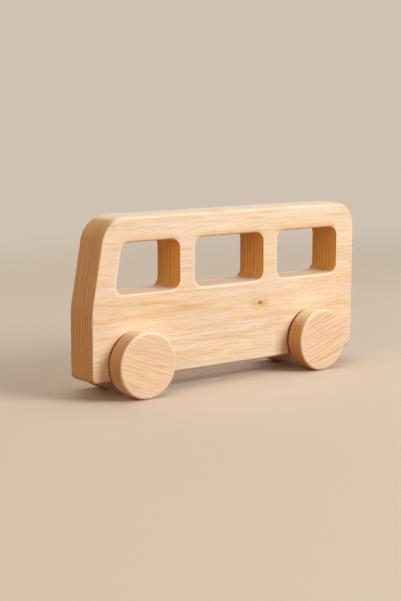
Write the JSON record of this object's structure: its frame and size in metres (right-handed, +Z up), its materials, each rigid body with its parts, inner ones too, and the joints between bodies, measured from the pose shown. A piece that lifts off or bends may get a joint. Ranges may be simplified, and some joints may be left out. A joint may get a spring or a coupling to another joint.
{
  "type": "wooden toy bus",
  "caption": "Flat slab-sided wooden toy bus with raked windscreen, open windows and plain disc wheels that roll freely on dowel axles through the body.",
  "frame": {"origin": "on the ground, midway between nose and tail and midway between the two sides", "axes": "+X forward towards the nose, +Y towards the bus's left side, +Z up"},
  "size_m": [0.18, 0.0426, 0.0925],
  "materials": {
    "body_wood": "planed, sanded and oiled pale softwood, satin",
    "wheel_wood": "turned and sanded pale wood, satin",
    "axle_wood": "plain wooden dowel"
  },
  "bodies": {
    "body": {"bus_body": "body_wood"},
    "front_wheelset": {"front_axle": "axle_wood", "front_left_wheel": "wheel_wood", "front_right_wheel": "wheel_wood"},
    "rear_wheelset": {"rear_axle": "axle_wood", "rear_left_wheel": "wheel_wood", "rear_right_wheel": "wheel_wood"}
  },
  "joints": [
    {"name": "front_wheelset_roll", "type": "hinge", "parent": "body", "child": "front_wheelset", "pos_m": [0.0628, 0, 0.0175], "axis": [0, 1, 0], "continuous": true},
    {"name": "rear_wheelset_roll", "type": "hinge", "parent": "body", "child": "rear_wheelset", "pos_m": [-0.0568, 0, 0.0175], "axis": [0, 1, 0], "continuous": true}
  ]
}
